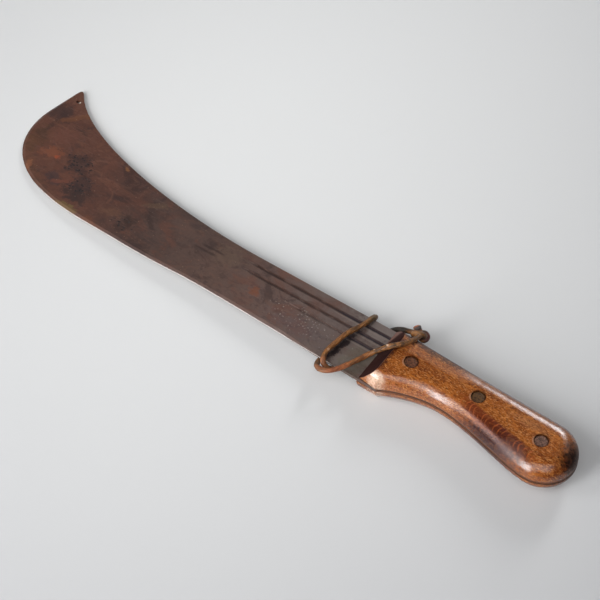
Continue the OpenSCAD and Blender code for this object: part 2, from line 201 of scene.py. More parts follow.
# the lower side slants from a scale's front_w here to GUARD_W at GUARD_L
FLARE_START = -3
BLADE_T, SCALE_T, WALL_H, SEAM_EASE = 2.2, 9.6, 0.8, 0.4
UPPER_RUN, LOWER_RUN = 8.5, 2
HEAD_D, SINK_GAP, POCKET_SIDES = 8, 0.25, 96
EDGE_ANGLE = math.radians(32)
RIVETS = [(22.4, -19.2), (67.2, -17.9), (112.0, -23.2)]


def cubic(p0, p1, p2, p3, n):
    t = np.linspace(0, 1, n + 1)[:, None]
    p0, p1, p2, p3 = (np.array(p, float) for p in (p0, p1, p2, p3))
    s = 1 - t
    return s**3 * p0 + 3 * s * s * t * p1 + 3 * s * t * t * p2 + t**3 * p3


def handle_rim():
    """Each entry is x, y and the way into the handle, from the guard round the butt to its top."""
    butt_x, butt_y = HANDLE_L - BUTT_R, -(BUTT_DROP + BUTT_R)
    low = butt_y - BUTT_R
    guard, grip, butt = np.array([GUARD_L, -GUARD_W]), (GRIP_X, -GRIP_W), (butt_x, low)
    way = np.array([math.cos(FINGER_SLOPE), math.sin(FINGER_SLOPE)])
    before_grip, after_grip = (GRIP_X - FINGER_PULL, -GRIP_W), (GRIP_X + GRIP_PULL, -GRIP_W)
    finger = cubic(guard, guard + GUARD_PULL * way, before_grip, grip, FINGER_STEPS)
    swell = cubic(grip, after_grip, (butt_x - BUTT_PULL, low), butt, SWELL_STEPS)
    rim = []
    for i, (x, y) in enumerate(finger):
        rim.append((x, y, 0, GUARD_ROUND + (1 - GUARD_ROUND) * i / FINGER_STEPS))
    rim += [(x, y, 0, 1) for x, y in swell[1:]]
    for a in np.radians(np.arange(-90 + BUTT_STEP, 91, BUTT_STEP)):
        c, s = math.cos(a), math.sin(a)
        rim.append((butt_x + BUTT_R * c, butt_y + BUTT_R * s, -c, -s))
    return np.array(rim), butt_x


def scale_mesh(edge_w, front_w, run, reach):
    """Points and faces of one scale, with its seam at z = 0 and its outer face at SCALE_T."""
    rim, butt_x = handle_rim()
    lower_rim = [(x, share) for x, y, dx, share in rim if dx == 0 and x < butt_x]
    # each level: how far in it lies, and its height
    levels = [(SEAM_EASE, 0), (SEAM_EASE * 0.3, SEAM_EASE * 0.3), (0, SEAM_EASE), (0, WALL_H)]
    for a in np.radians(np.arange(EDGE_STEP, 91, EDGE_STEP)):
        levels.append((edge_w * (1 - math.cos(a)), WALL_H + (SCALE_T - WALL_H) * math.sin(a)))

    def spine_side(x):
        return -BUTT_DROP * x / butt_x

    points = []
    for d, z in levels:
        front = run * z / SCALE_T - reach
        flare = (front - FLARE_START) / (GUARD_L - FLARE_START)
        width = front_w + (GUARD_W - front_w) * flare
        ring = [(front, GUARD_ROUND * d - width)]
        ring += [(x + d * dx, y + d * dy) for x, y, dx, dy in rim]
        ring += [(x, spine_side(x) - share * d) for x, share in reversed(lower_rim)]
        ring += [(front, spine_side(front) - GUARD_ROUND * d)]
        points += [(x, y, z) for x, y in ring]
    n = len(points) // len(levels)
    faces = []
    for i in range(len(levels) - 1):
        for k in range(n):
            a, b = i * n + k, i * n + (k + 1) % n
            faces.append((a, b, b + n, a + n))
    # the two flat faces, in strips from the lower side to the spine side
    top = (len(levels) - 1) * n
    for k in range(n // 2 - 1):
        m = n - 1 - k
        faces.append((m, m - 1, k + 1, k))
        faces.append((top + k, top + k + 1, top + m - 1, top + m))
    return np.array(points), faces


def make_scale(name, node, up, sink, **shape):
    """One scale with its rivet pockets, sink deep: above the blade if up is 1, below it if -1."""
    points, faces = scale_mesh(**shape)
    points[:, 2] = up * (points[:, 2] + BLADE_T / 2)
    if up < 0:
        faces = [tuple(reversed(f)) for f in faces]
    made = new_object(name, to_row(points), faces)
    for x, y in RIVETS:
        bpy.ops.mesh.primitive_cylinder_add(
            vertices=POCKET_SIDES,
            radius=(HEAD_D / 2 + SINK_GAP) * MM,
            depth=2 * sink * MM,
            location=to_row((x, y, up * (BLADE_T / 2 + SCALE_T))),
        )
        cutter = bpy.context.object
        cut = made.modifiers.new("pocket", "BOOLEAN")
        cut.operation, cut.object, cut.solver = "DIFFERENCE", cutter, "EXACT"
        bpy.context.view_layer.update()
        cut_mesh = bpy.data.meshes.new_from_object(
            made.evaluated_get(bpy.context.evaluated_depsgraph_get())
        )
        made.modifiers.clear()
        made.data = cut_mesh
        bpy.data.objects.remove(cutter)
    made.data.set_sharp_from_angle(angle=EDGE_ANGLE)
    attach(made, "root")
    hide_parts(node)
    return made


# edge_w is the width of the rounding, front_w the width at FLARE_START, run how far the front
# end slopes back over the scale's thickness, and reach how far it stands forward
upper_scale = make_scale(
    "upper_scale", "scale_top", 1, 2.4, edge_w=10.4, front_w=39.8, run=UPPER_RUN, reach=0
)
lower_scale = make_scale(
    "lower_scale", "scale_bottom", -1, 2.5, edge_w=12.4, front_w=41.6, run=LOWER_RUN, reach=0.5
)


# Materials
def tone(r, g, b):
    """A colour as it looks on a screen, 0 to 255, as the shader's linear values."""
    linear = [
        c / 3294.6 if c <= 10 else ((c / 255 + 0.055) / 1.055) ** 2.4 for c in (r, g, b)
    ]
    return (*linear, 1)


def feed(tree, socket, value):
    """Links the socket to another, or sets it to a plain value."""
    if isinstance(value, bpy.types.NodeSocket):
        tree.links.new(value, socket)
    else:
        socket.default_value = value


def smooth_range(tree, value, low, high, start, end):
    """Goes smoothly from start to end as value goes from low to high."""
    made = tree.nodes.new("ShaderNodeMapRange")
    made.interpolation_type = "SMOOTHSTEP"
    names = ("Value", "From Min", "From Max", "To Min", "To Max")
    for name, given in zip(names, (value, low, high, start, end)):
        feed(tree, made.inputs[name], given)
    return made.outputs["Result"]


class Paint:
    """One procedural material. Each call adds nodes and gives back the socket of their result.
    Places are in millimetres from the front of the handle."""

    def __init__(self, name):
        self.material = bpy.data.materials.new(name)
        self.material.use_nodes = True
        self.tree = self.material.node_tree
        self.shader = self.tree.nodes["Principled BSDF"]
        place = self.node("ShaderNodeVectorMath", operation="MULTIPLY_ADD")
        self.feed(place.inputs[0], self.node("ShaderNodeTexCoord").outputs["Object"])
        place.inputs[1].default_value = (1 / MM, 1 / MM, 1 / MM)
        place.inputs[2].default_value = tuple(-OFFSET)
        self.place = place.outputs[0]
        split = self.node("ShaderNodeSeparateXYZ")
        self.feed(split.inputs[0], self.place)
        self.x, self.y, self.z = split.outputs

    def node(self, kind, **settings):
        made = self.tree.nodes.new(kind)
        for key, value in settings.items():
            setattr(made, key, value)
        return made

    def feed(self, socket, value):
        feed(self.tree, socket, value)

    def math(self, operation, a, b=0.0, clamp=False):
        made = self.node("ShaderNodeMath", operation=operation, use_clamp=clamp)
        self.feed(made.inputs[0], a)
        self.feed(made.inputs[1], b)
        return made.outputs[0]

    def chain(self, operation, first, *others):
        for other in others:
            first = self.math(operation, first, other)
        return first

    def times(self, *values):
        return self.chain("MULTIPLY", *values)

    def plus(self, *values):
        return self.chain("ADD", *values)

    def most(self, *values):
        return self.chain("MAXIMUM", *values)

    def minus(self, a, b):
        return self.math("SUBTRACT", a, b)

    def size_of(self, value):
        return self.math("ABSOLUTE", value)

    def ragged(self, value, rough, width):
        """The value, shifted to and fro by fine noise, to make a limit on it ragged."""
        return self.plus(value, self.times(rough, width))

    def mapped(self, scale, shift=(0, 0, 0), turn=0, place=None):
        made = self.node("ShaderNodeMapping")
        self.feed(made.inputs["Vector"], place or self.place)
        made.inputs["Scale"].default_value = scale
        made.inputs["Location"].default_value = shift
        made.inputs["Rotation"].default_value = (0, 0, math.radians(turn))
        return made.outputs[0]

    def away_from(self, x, y):
        """The distance from the line through x, y that runs along z."""
        made = self.node("ShaderNodeVectorMath", operation="DISTANCE")
        self.feed(made.inputs[0], self.mapped((1, 1, 0)))
        made.inputs[1].default_value = (x, y, 0)
        return made.outputs["Value"]

    def noise(
        self, size, detail, rough, stretch=(1, 1, 1), shift=0, turn=0, twist=0.0, place=None
    ):
        """Noise whose lumps are about size millimetres wide, stretched along the axes."""
        made = self.node("ShaderNodeTexNoise")
        scale = tuple(1 / (size * s) for s in stretch)
        self.feed(
            made.inputs["Vector"], self.mapped(scale, (shift, shift, shift), turn, place)
        )
        made.inputs["Scale"].default_value = 1
        made.inputs["Detail"].default_value = detail
        made.inputs["Roughness"].default_value = rough
        made.inputs["Distortion"].default_value = twist
        return made.outputs["Fac"]

    def cells(self, size, stretch=(1, 1, 1), shift=0):
        """The distance to the nearest of scattered spots about size millimetres apart."""
        made = self.node("ShaderNodeTexVoronoi")
        scale = tuple(1 / (size * s) for s in stretch)
        self.feed(made.inputs["Vector"], self.mapped(scale, (shift, shift, shift)))
        made.inputs["Scale"].default_value = 1
        return made.outputs["Distance"]

    def fade(self, value, low, high, start=0.0, end=1.0):
        return smooth_range(self.tree, value, low, high, start, end)

    def ramp(self, value, stops):
        """Colours (0 to 255) along the value, each given with its place."""
        made = self.node("ShaderNodeValToRGB")
        self.feed(made.inputs[0], value)
        steps = made.color_ramp.elements
        while len(steps) < len(stops):
            steps.new(0.5)
        for step, (where, look) in zip(steps, stops):
            step.position, step.color = where, tone(*look)
        return made.outputs[0]

    def mix(self, share, a, b):
        made = self.node("ShaderNodeMix", data_type="RGBA")
        self.feed(made.inputs[0], share)
        self.feed(made.inputs[6], a)
        self.feed(made.inputs[7], b)
        return made.outputs[2]

    def rough(self, size, detail=7.0):
        """Fine noise about 0, to break up the rims of patches."""
        return self.minus(self.noise(size, detail, 0.72, shift=91), 0.5)

    def patch(self, centre, size, turn=0, soft=0.35, rough=None, wild=0.9):
        """1 inside an oval patch, 0 outside, with a rim that is ragged if rough is given."""
        inside = self.node("ShaderNodeMapping", vector_type="TEXTURE")
        self.feed(inside.inputs["Vector"], self.place)
        inside.inputs["Location"].default_value = (*centre, 0)[:3]
        inside.inputs["Rotation"].default_value = (0, 0, math.radians(turn))
        inside.inputs["Scale"].default_value = (*size, 1e4)[:3]
        ball = self.node("ShaderNodeTexGradient", gradient_type="SPHERICAL")
        self.feed(ball.inputs[0], inside.outputs[0])
        field = ball.outputs["Fac"]
        share = self.ragged(field, rough, wild) if rough else field
        return self.times(self.fade(share, 0.22, 0.22 + soft), self.fade(field, 0.0, 0.2))

    def band(self, value, centre, half, soft):
        """1 where value is within half of centre, fading to 0 over soft on both sides."""
        return self.fade(self.size_of(self.minus(value, centre)), half + soft, half)

    def paint(self, colour, share, strength, look):
        """Lays the look (0 to 255) over the colour where share is 1, as strongly as strength."""
        return self.mix(self.math("MULTIPLY", share, strength, clamp=True), colour, tone(*look))

    def paint_patches(self, colour, patches, soft, rough, wild):
        """Each patch is its centre, size, turn, strength and look."""
        for centre, size, turn, strength, look in patches:
            share = self.patch(centre, size, turn, soft, rough, wild)
            colour = self.paint(colour, share, strength, look)
        return colour

    def bump(self, height, depth, after=None):
        """Relief of the given depth in millimetres."""
        made = self.node("ShaderNodeBump")
        made.inputs["Strength"].default_value = 1.0
        made.inputs["Distance"].default_value = depth * MM
        self.feed(made.inputs["Height"], height)
        if after:
            self.feed(made.inputs["Normal"], after)
        return made.outputs[0]

    def finish(self, colour, roughness, normal=None, **others):
        self.feed(self.shader.inputs["Base Color"], colour)
        self.feed(self.shader.inputs["Roughness"], roughness)
        if normal:
            self.feed(self.shader.inputs["Normal"], normal)
        for name, value in others.items():
            self.feed(self.shader.inputs[name.replace("_", " ")], value)
        return self.material


BLADE_L = 283
HOLE = (-270.0, 37.9)
STEEL_TONES = [
    # place from the tip to the handle, colour
    (0.0, (98, 64, 53)),
    (0.18, (90, 60, 51)),
    (0.33, (77, 59, 54)),
    (0.5, (86, 68, 62)),
    (0.66, (95, 74, 66)),
    (0.85, (101, 81, 75)),
    (1.0, (110, 96, 90)),
]
RUST_AND_THONG_SHADOW_PATCHES = [
    # centre, size, turn, strength, colour
    ((-275, 25), (15, 12), 20, 0.7, (62, 47, 46)),
    ((-272, -1), (12, 17), 10, 0.35, (80, 58, 38)),
    ((-262, 8), (17, 10), 40, 0.35, (112, 72, 60)),
    ((-258, -6), (13, 7), 20, 0.65, (130, 78, 57)),
    ((-252.3, -6.7), (3.2, 2.2), 30, 0.7, (158, 78, 52)),
    ((-263, -22), (2.6, 9), 32, 0.6, (146, 90, 64)),
    ((-261, 28), (24, 3.6), 48, 0.5, (122, 78, 54)),
    ((-237, -4), (13, 12), 0, 0.65, (60, 47, 46)),
    ((-225, -16), (12, 11), 20, 0.65, (58, 47, 47)),
    ((-224, -25), (16, 10), -15, 0.75, (56, 45, 44)),
    ((-244, -22), (10, 6), -20, 0.6, (66, 53, 54)),
    ((-238, -22), (12, 2.4), 30, 0.6, (120, 72, 58)),
    ((-222, -36), (13, 4.5), 2, 0.85, (112, 92, 62)),
    ((-209.5, 10), (3.4, 1.8), -25, 0.6, (146, 98, 62)),
    ((-203, -38), (14, 5), 2, 0.5, (112, 70, 50)),
    ((-196, -24), (13, 5), 20, 0.5, (108, 76, 60)),
    ((-176, -4), (12, 4), 30, 0.5, (106, 82, 66)),
    ((-184, -30), (7, 5), 0, 0.45, (56, 44, 42)),
    ((-181, -22), (8, 5), 20, 0.6, (60, 46, 42)),
    ((-150, -8), (22, 7), -12, 0.4, (98, 76, 68)),
    ((-116, -11), (16, 11), 0, 0.6, (104, 84, 72)),
    ((-87, -23), (6.5, 4.6), 0, 0.6, (128, 72, 46)),
    ((-74, 0), (14, 4), 0, 0.4, (114, 76, 62)),
    ((-46, -30), (34, 12), 0, 0.35, (94, 80, 82)),
    ((-26, -16), (34, 26), 0, 0.45, (112, 100, 96)),
    ((-4, -4), (32, 15), 0, 0.75, (132, 120, 115)),
    ((-14, -37), (14, 10), 0, 0.5, (128, 118, 112)),
    ((-7, -31), (14, 20), 0, 0.5, (106, 98, 84)),
    # painted shadow cast by the thong's near strand onto the blade, over a little stain
    ((-20.8, -25.5), (3.6, 27), -9, 0.9, (38, 27, 30)),
]
GROOVES = [
    # place across the blade, far end, where the soot beside the handle starts, strength
    (-6.3, -106, -36, 0.7),
    (-12.7, -106, -24, 0.65),
    (-19.1, -66, -20, 0.3),
]
STROKES = [(-11.2, -126), (-14.8, -129.5)]


def rust(p, rough, small, grain):
    """Rust clouds from wide to small, thin wisps towards the tip, rust patches with one painted
    shadow beside the thong, and a brown rim.
    """
    drift = p.times(p.minus(p.noise(24, 5, 0.6, twist=0.8), 0.5), 110)
    colour = p.ramp(p.fade(p.plus(p.x, drift), -BLADE_L, 0), STEEL_TONES)
    cloud = p.noise(15, 6, 0.62, (1.5, 1, 1), 7, 25, twist=0.7)
    colour = p.paint(colour, p.fade(cloud, 0.52, 0.63), 0.6, (58, 43, 41))
    colour = p.paint(colour, p.fade(cloud, 0.48, 0.36), 0.5, (106, 68, 56))
    colour = p.paint(colour, p.fade(small, 0.52, 0.66), 0.4, (62, 48, 47))
    colour = p.paint(colour, p.fade(small, 0.47, 0.34), 0.3, (112, 80, 68))
    colour = p.paint(colour, p.fade(grain, 0.52, 0.7), 0.2, (54, 40, 37))
    colour = p.paint(colour, p.fade(grain, 0.46, 0.3), 0.16, (118, 90, 78))
    far = p.fade(p.x, -120, -235)
    for size, turn, shift, look in ((30, 40, 13, (124, 84, 66)), (17, -30, 53, (114, 78, 68))):
        line = p.noise(size, 3, 0.45, (2.4, 1, 1), shift, turn, twist=0.9)
        line = p.fade(p.size_of(p.minus(line, 0.5)), 0.035, 0.0)
        line = p.times(line, p.fade(small, 0.46, 0.58), p.plus(far, 0.3))
        colour = p.paint(colour, line, 0.3, look)
    colour = p.paint_patches(colour, RUST_AND_THONG_SHADOW_PATCHES, 0.4, rough, 2.2)
    rim = p.times(p.fade(p.x, -196, -214), p.fade(p.y, 8, -8))
    outer = p.fade(p.ragged(p.away_from(-214, 34), rough, 12), 67, 73)
    return p.paint(colour, p.times(rim, outer), 0.16, (116, 80, 52))


def pits(p, colour, rough, small, grain):
    """Dark pits, thickest near the tip, light specks, and pale pitting before the handle."""
    thick = p.most(
        p.patch((-237, -4), (17, 14), 0, 0.3, rough, 1.5),
        p.patch((-225, -18), (13, 12)),
        p.patch((-184, -28), (13, 9)),
        0.1,
    )
    pit = p.times(p.fade(p.cells(2.1, (1.2, 1, 1), 3), 0.37, 0.25), p.fade(grain, 0.42, 0.48))
    pit = p.times(pit, thick)
    colour = p.paint(colour, pit, 0.85, (32, 27, 29))
    specks = p.times(p.fade(p.cells(3.4, shift=57), 0.13, 0.07), p.fade(grain, 0.55, 0.45))
    colour = p.paint(colour, specks, 0.5, (158, 128, 108))
    spots = p.patch((-47, -25), (44, 15), 0, 0.5, rough, 2.5)
    spots = p.times(spots, p.fade(small, 0.4, 0.52))
    flecks = p.fade(p.cells(1.5, (1.3, 1, 1), 83), 0.36, 0.26)
    flecks = p.times(flecks, p.fade(grain, 0.5, 0.45), spots)
    return p.paint(colour, flecks, 0.85, (160, 146, 138)), pit


def groove_soot(p, colour, rough):
    """Soot in the grooves, blackest beside the handle, and faint strokes beyond their ends."""
    wander = p.times(p.minus(p.noise(5, 3, 0.6, (2.2, 1, 1), 77), 0.5), 2.6)
    level = p.plus(p.y, wander)
    broken = p.fade(p.noise(4, 3, 0.6, (2.2, 1, 1), 19), 0.34, 0.5, 0.4, 1.0)
    grooves = 0.0
    for y, end, dark_from, strength in GROOVES:
        reach = p.fade(p.ragged(p.x, rough, 20), end, end + 12)
        grooves = p.most(p.times(p.band(p.y, y, 0.9, 0.3), reach), grooves)
        stain = p.times(p.band(level, y + 0.1, 0.7, 0.8), reach, broken)
        colour = p.paint(colour, stain, strength, (56, 41, 38))
        wall = p.times(p.band(p.y, y + 0.45, 0.35, 0.45), reach, broken)
        colour = p.paint(colour, wall, strength + 0.15, (46, 33, 29))
        near = p.fade(p.ragged(p.x, rough, 8), dark_from - 6, dark_from + 4)
        bed = p.times(p.band(p.y, y + 0.2, 0.85, 0.5), near)
        colour = p.paint(colour, bed, 0.82, (36, 33, 40))
        lip = p.times(p.band(p.y, y - 1.9, 0.2, 0.5), near)
        colour = p.paint(colour, lip, 0.45, (138, 124, 116))
    for y, middle in STROKES:
        stroke = p.times(p.band(level, y, 0.3, 1.0), p.band(p.x, middle, 5, 5))
        colour = p.paint(colour, stroke, 0.75, (56, 42, 40))
    return colour, grooves


def scratches(p, colour):
    along = p.fade(p.noise(0.7, 2, 0.5, (26, 0.5, 1), 5, 3), 0.66, 0.76)
    colour = p.paint(colour, along, 0.35, (134, 112, 100))
    cross = p.fade(p.noise(0.8, 2, 0.5, (18, 0.5, 1), 25, 38), 0.68, 0.78)
    return p.paint(colour, cross, 0.3, (132, 104, 90))


def worn_edge_and_hole_light(p, colour, rough):
    """Bright worn metal on the cutting edge, and a painted pale spot on the rim of the hanging
    hole, as if the pale floor showed through it.
    """
    tilt = p.node("ShaderNodeSeparateXYZ")
    p.feed(tilt.inputs[0], p.node("ShaderNodeNewGeometry").outputs["True Normal"])
    steep = p.fade(p.size_of(tilt.outputs[2]), 0.97, 0.94)
    bevel = p.times(steep, p.fade(tilt.outputs[1], -0.15, -0.35))
    height = p.size_of(p.z)
    worn = p.times(
        bevel,
        p.fade(p.ragged(height, rough, 0.25), 0.37, 0.23),
        p.fade(p.ragged(p.x, rough, 20), -252, -236),
        p.fade(p.x, -12, -24),
    )
    shoulder = p.times(bevel, p.fade(height, 0.6, 0.95))
    colour = p.paint(colour, shoulder, 0.15, (122, 82, 66))
    colour = p.paint(colour, worn, 0.9, (226, 216, 210))
    # painted light: a pale spot on the hanging hole's rim, as if the floor showed through the hole
    return p.paint(colour, p.patch(HOLE, (1.15, 1.0), 0, 0.3), 0.85, (226, 214, 198))


def tang_edge(p, colour, rough):
    """Between the scales the steel is brown like the wood, with a dark line of painted shade along
    the seam.
    """
    inside = p.fade(p.x, 12, 14.5)
    colour = p.paint(colour, inside, 1.0, (112, 66, 38))
    # painted shade: a dark line in the seam where the scales meet the tang
    seam = p.ragged(p.minus(p.z, p.fade(p.x, 14, 115, 0.75, -0.75)), rough, 1.0)
    seam = p.times(p.band(seam, 0, 0.25, 0.2), inside)
    return p.paint(colour, seam, 0.9, (30, 18, 14)), inside


def blade_steel():
    p = Paint("blade_steel")
    rough = p.rough(3.4)
    small = p.noise(5, 4, 0.55, (1.4, 1, 1), 31, -20, twist=0.8)
    grain = p.noise(1.3, 6, 0.75, (1.2, 1, 1), 43)
    colour = rust(p, rough, small, grain)
    colour, pit = pits(p, colour, rough, small, grain)
    colour, grooves = groove_soot(p, colour, rough)
    colour = worn_edge_and_hole_light(p, scratches(p, colour), rough)
    colour, inside = tang_edge(p, colour, rough)

    # the steel is barest beside the handle, and dull in the grooves
    roughness = p.most(p.plus(p.times(small, 0.3), 0.36), grooves)
    bare = p.plus(p.times(p.fade(p.x, -70, 0), 0.3), 0.1)
    metallic = p.times(bare, p.minus(1.0, p.most(inside, grooves)))
    relief = p.bump(p.times(pit, -1), 0.2, after=p.bump(grain, 0.07))
    return p.finish(colour, roughness, relief, Metallic=metallic, Specular_IOR_Level=0.35)


WOOD_TONES = [
    (0.3, (112, 50, 8)),
    (0.45, (140, 70, 17)),
    (0.56, (166, 92, 31)),
    (0.72, (136, 66, 16)),
]
WOOD_PATCHES_AND_PAINTED_LIGHT = [
    # centre, size, turn, strength, colour
    ((14, -37), (24, 9), 0, 0.55, (184, 108, 66)),
    ((40, -31), (34, 7), 6, 0.4, (172, 100, 60)),
    ((26, -17), (40, 12), 0, 0.65, (122, 56, 6)),
    ((102, -17), (24, 6), 0, 0.4, (172, 118, 78)),
    ((108, -38), (26, 8), -6, 0.4, (176, 98, 50)),
    # dark flank with the purple-grey tint of a painted reflection
    ((90, -37.3), (42, 9.5), -10, 0.92, (56, 30, 36)),
    # painted highlight on the guard's lower corner, over a little wear
    ((11, -38.8), (10, 5.8), 0, 0.85, (248, 214, 186)),
    # painted shadow of the thong on the wood beside the knot
    ((15, -3), (12, 6), 0, 0.85, (50, 27, 20)),
    ((136, -20), (23, 26), 0, 0.97, (26, 6, 3)),
    ((129, -36.5), (11, 3.4), 28, 0.7, (88, 32, 8)),
    ((117, -31), (14, 5), -5, 0.35, (104, 48, 16)),
    ((5, -9), (9, 12), 0, 0.6, (88, 46, 18)),
    ((12, -16), (9, 7), 0, 0.45, (104, 48, 10)),
    ((30, -4.5), (44, 9), -2, 0.85, (60, 32, 24)),
]
LANE_SLOPE, CURL_LENGTH = 0.207, 3.1


def figure(p, colour, calm):
    """Streaks and strokes along the grain, faint where calm is 1, and pores everywhere."""
    lively = p.minus(1.0, p.times(calm, 0.82))
    streaks = p.noise(2.2, 5, 0.62, (3.2, 1, 1.2), 51, 3, twist=0.6)
    colour = p.paint(colour, p.fade(streaks, 0.52, 0.66), p.times(lively, 0.5), (94, 40, 8))
    colour = p.paint(colour, p.fade(streaks, 0.48, 0.36), p.times(lively, 0.5), (196, 118, 50))
    strokes = p.noise(0.65, 4, 0.62, (2.5, 1, 1.3), 9, 5, twist=0.3)
    colour = p.paint(colour, p.fade(strokes, 0.5, 0.62), p.times(lively, 0.72), (72, 30, 5))
    light = p.noise(0.65, 4, 0.62, (2.5, 1, 1.3), 37, -8, twist=0.3)
    colour = p.paint(colour, p.fade(light, 0.51, 0.64), p.times(lively, 0.7), (210, 142, 80))
    pores = p.noise(0.45, 2, 0.5, (3.6, 1, 1.2), 17, 2)
    return p.paint(colour, p.fade(pores, 0.56, 0.68), 0.45, (60, 26, 8))


def curl(p, colour, lane):
    """Thin light arcs across the grain in the dark stretch."""
    off = p.plus(lane, 12.3)
    bow = p.times(off, off, 0.12)
    shake = p.times(p.noise(9, 2, 0.5, shift=61), 4)
    phase = p.plus(p.minus(p.x, bow), shake)
    wave = p.math("SINE", p.times(phase, 2 * math.pi / CURL_LENGTH))
    arcs = p.times(
        p.fade(wave, 0.45, 1.0),
        p.band(lane, -12.0, 1.9, 1.8),
        p.fade(p.x, 55, 62),
        p.fade(p.x, 120, 112),
        p.fade(p.noise(5, 2, 0.5, shift=67), 0.36, 0.5),
    )
    return p.paint(colour, arcs, 0.6, (180, 92, 46))


def dirt_and_painted_light(p, colour, rough):
    """Hands have darkened the spine side. Painted shade darkens the seam. The front end is worn
    and greyish with a painted purple-grey sheen; soot and the thong's painted shadow darken its
    lower part and spill a little over its rim."""
    spine = p.ragged(p.plus(p.y, p.times(p.x, 0.033)), rough, 3)
    colour = p.paint(colour, p.fade(spine, -5.0, -1.5), 0.75, (74, 46, 40))
    front = p.minus(p.x, p.times(p.minus(p.z, BLADE_T / 2), UPPER_RUN / SCALE_T))
    # the front end: worn greyish end grain with a painted purple-grey sheen
    end = p.times(p.fade(front, 0.8, 0.2), p.fade(p.z, 0, 1))
    colour = p.paint(colour, end, 0.85, (112, 76, 66))
    # soot and painted shadow spill a little over the front end's rim
    spill = p.times(
        p.fade(p.ragged(front, rough, 9), 3.6, 1.0),
        p.band(p.y, -21, 11, 5),
        p.fade(p.z, 4, 7),
    )
    colour = p.paint(colour, spill, 0.85, (58, 26, 16))
    # soot with the thong's painted shadow on the lower part of the front end
    lower = p.ragged(p.plus(p.y, p.times(p.x, -2.2)), rough, 9)
    soot_and_shadow = p.times(end, p.fade(lower, -7, -16))
    colour = p.paint(colour, soot_and_shadow, 0.92, (58, 32, 30))
    colour = p.paint(colour, p.fade(p.z, -1.2, -3.0), 0.35, (96, 48, 24))
    # painted shade: a dark line along the seam between the scales
    seam = p.fade(p.ragged(p.size_of(p.z), rough, 1.2), 1.65, 1.15)
    return p.paint(colour, seam, 0.55, (46, 22, 12)), end, soot_and_shadow


def rivet_rims(p, colour, rough):
    """A dark ring of painted shade round each rivet's pocket, and on its lower left a worn rim
    with a painted highlight.
    """
    for x, y in RIVETS:
        away = p.ragged(p.away_from(x, y), rough, 1.2)
        # painted shade: a dark ring round the pocket
        colour = p.paint(colour, p.fade(away, 4.9, 4.4), 0.7, (48, 24, 12))
        # worn rim with a painted highlight on the lower left
        side = p.patch((x - 3.6, y - 2.6), (4.2, 4.6), 0, 0.5, rough, 1.5)
        rim = p.times(side, p.band(away, 4.7, 0.3, 0.6))
        colour = p.paint(colour, rim, 0.45, (198, 146, 110))
    return colour


def handle_wood():
    p = Paint("handle_wood")
    rough = p.rough(2.2)
    colour = p.ramp(p.noise(8, 5, 0.62, (2.6, 1, 1), 2, 3, twist=0.5), WOOD_TONES)
    colour = p.paint_patches(colour, WOOD_PATCHES_AND_PAINTED_LIGHT, 0.6, rough, 1.2)

    # a dark stretch along the lower side
    lane = p.ragged(p.plus(p.y, p.times(p.x, LANE_SLOPE)), rough, 2.2)
    stretch = p.times(p.fade(p.x, 54, 68), p.fade(p.x, 118, 102))
    dark = p.times(p.band(lane, -12.4, 2.6, 2.2), stretch)
    colour = p.paint(colour, dark, 0.85, (100, 36, 16))
    colour = p.paint(colour, p.times(dark, p.fade(p.x, 76, 96)), 0.6, (64, 26, 26))

    # the butt, the flank, the guard's corner under its painted highlight and the dark stretch show
    # little figure
    calm = p.most(
        p.patch((135, -20), (20, 24)),
        p.patch((90, -37.3), (44, 9), -10),
        p.patch((11, -38.8), (11, 7)),
        dark,
    )
    colour = figure(p, colour, calm)
    colour = curl(p, colour, lane)
    colour, end, soot_and_shadow = dirt_and_painted_light(p, colour, rough)
    colour = rivet_rims(p, colour, rough)

    # polished but for the spine side in front, the front end, and spots on the flank and butt
    roughness = p.plus(p.times(p.noise(3, 4, 0.65, (2, 1, 1), 71), 0.18), 0.14)
    dull_places = [
        (p.times(p.fade(p.x, 68, 40), p.fade(p.y, -16, -9)), 0.5),
        (end, 0.8),
        (p.patch((101, -38), (15, 10), -6), 0.2),
        (p.patch((136, -17), (17, 17)), 0.25),
    ]
    for share, extra in dull_places:
        roughness = p.math("ADD", roughness, p.times(share, extra), clamp=True)

    # the soot and painted shadow on the front end, the dark butt and the dark flank reflect less
    butt = p.patch((136, -20), (17, 18), 0, 0.6, rough, 1.2)
    flank = p.patch((84, -34.2), (34, 9), -10, 0.6, rough, 1.2)
    metallic = p.most(p.times(soot_and_shadow, 0.9), p.times(butt, 0.65), p.times(flank, 0.45))
    fine = p.bump(p.noise(0.9, 4, 0.7, (3, 1, 1.5), 23, 8), 0.05)
    relief = p.bump(p.noise(3.5, 3, 0.55, (1.8, 1, 1), 29), 0.16, after=fine)
    return p.finish(colour, roughness, relief, Metallic=metallic, Specular_IOR_Level=0.88)


def rivet_metal(name, light, dark, shift):
    p = Paint(name)
    blotch = p.noise(1.2, 5, 0.7, shift=shift)
    colour = p.mix(p.fade(blotch, 0.4, 0.6), tone(*dark), tone(*light))
    grit = p.fade(p.cells(0.9, shift=shift + 3), 0.34, 0.16)
    colour = p.paint(colour, grit, 0.75, (26, 16, 11))
    roughness = p.plus(p.times(blotch, 0.25), 0.4)
    return p.finish(colour, roughness, p.bump(blotch, 0.2), Metallic=0.3)


